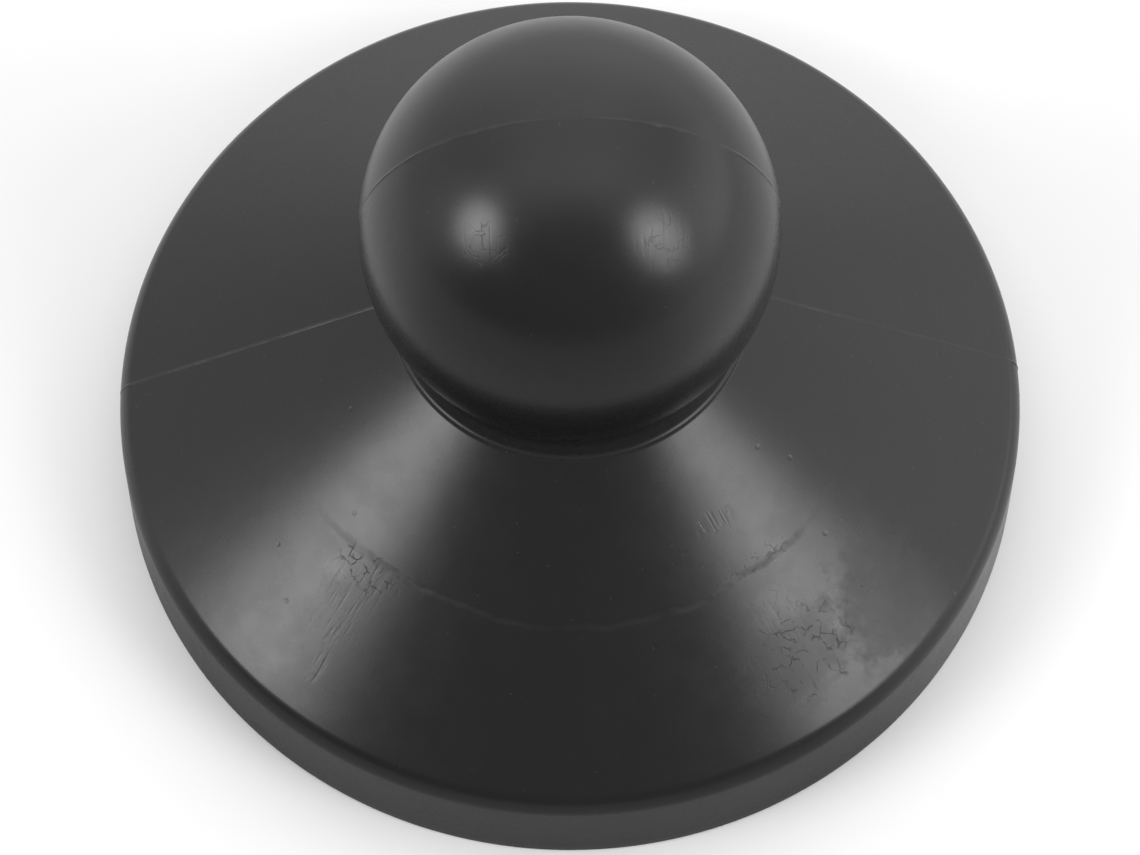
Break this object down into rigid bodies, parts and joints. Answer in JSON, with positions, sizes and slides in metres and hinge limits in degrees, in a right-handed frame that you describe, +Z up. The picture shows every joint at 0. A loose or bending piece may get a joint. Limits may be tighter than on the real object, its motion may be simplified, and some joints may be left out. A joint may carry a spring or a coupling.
{
  "type": "sink plunger",
  "caption": "Rubber sink plunger with a palm-sized ball handle on a short neck over a low, wide conical cup with a thick upright rim.",
  "frame": {"origin": "on the axis, at the plane of the flat sealing face that rests on the sink", "axes": "+Z up the axis through the ball; the mould's flash line lies in the XZ plane"},
  "size_m": [0.115, 0.115, 0.0753],
  "materials": {
    "black_rubber": "semi-gloss moulded rubber, lightly scuffed"
  },
  "bodies": {
    "rim": {"sealing_lip": "black_rubber", "rim_band": "black_rubber", "bell_wall": "black_rubber"},
    "crown": {"bell_crown": "black_rubber"},
    "neck": {"neck": "black_rubber"},
    "ball": {"ball_grip": "black_rubber"}
  },
  "joints": [
    {"name": "plunge", "type": "slide", "parent": "rim", "child": "crown", "axis": [0, 0, 1], "range_m": [-0.015, 0], "stiffness_N_per_m": 4000, "deforming": ["bell_wall"]},
    {"name": "rock_fore_aft", "type": "hinge", "parent": "crown", "child": "neck", "pos_m": [0, 0, 0.0375], "axis": [1, 0, 0], "range_deg": [-10, 10], "stiffness_Nm_per_rad": 4, "deforming": ["neck"]},
    {"name": "rock_side", "type": "hinge", "parent": "neck", "child": "ball", "pos_m": [0, 0, 0.0375], "axis": [0, 1, 0], "range_deg": [-10, 10], "stiffness_Nm_per_rad": 4}
  ]
}
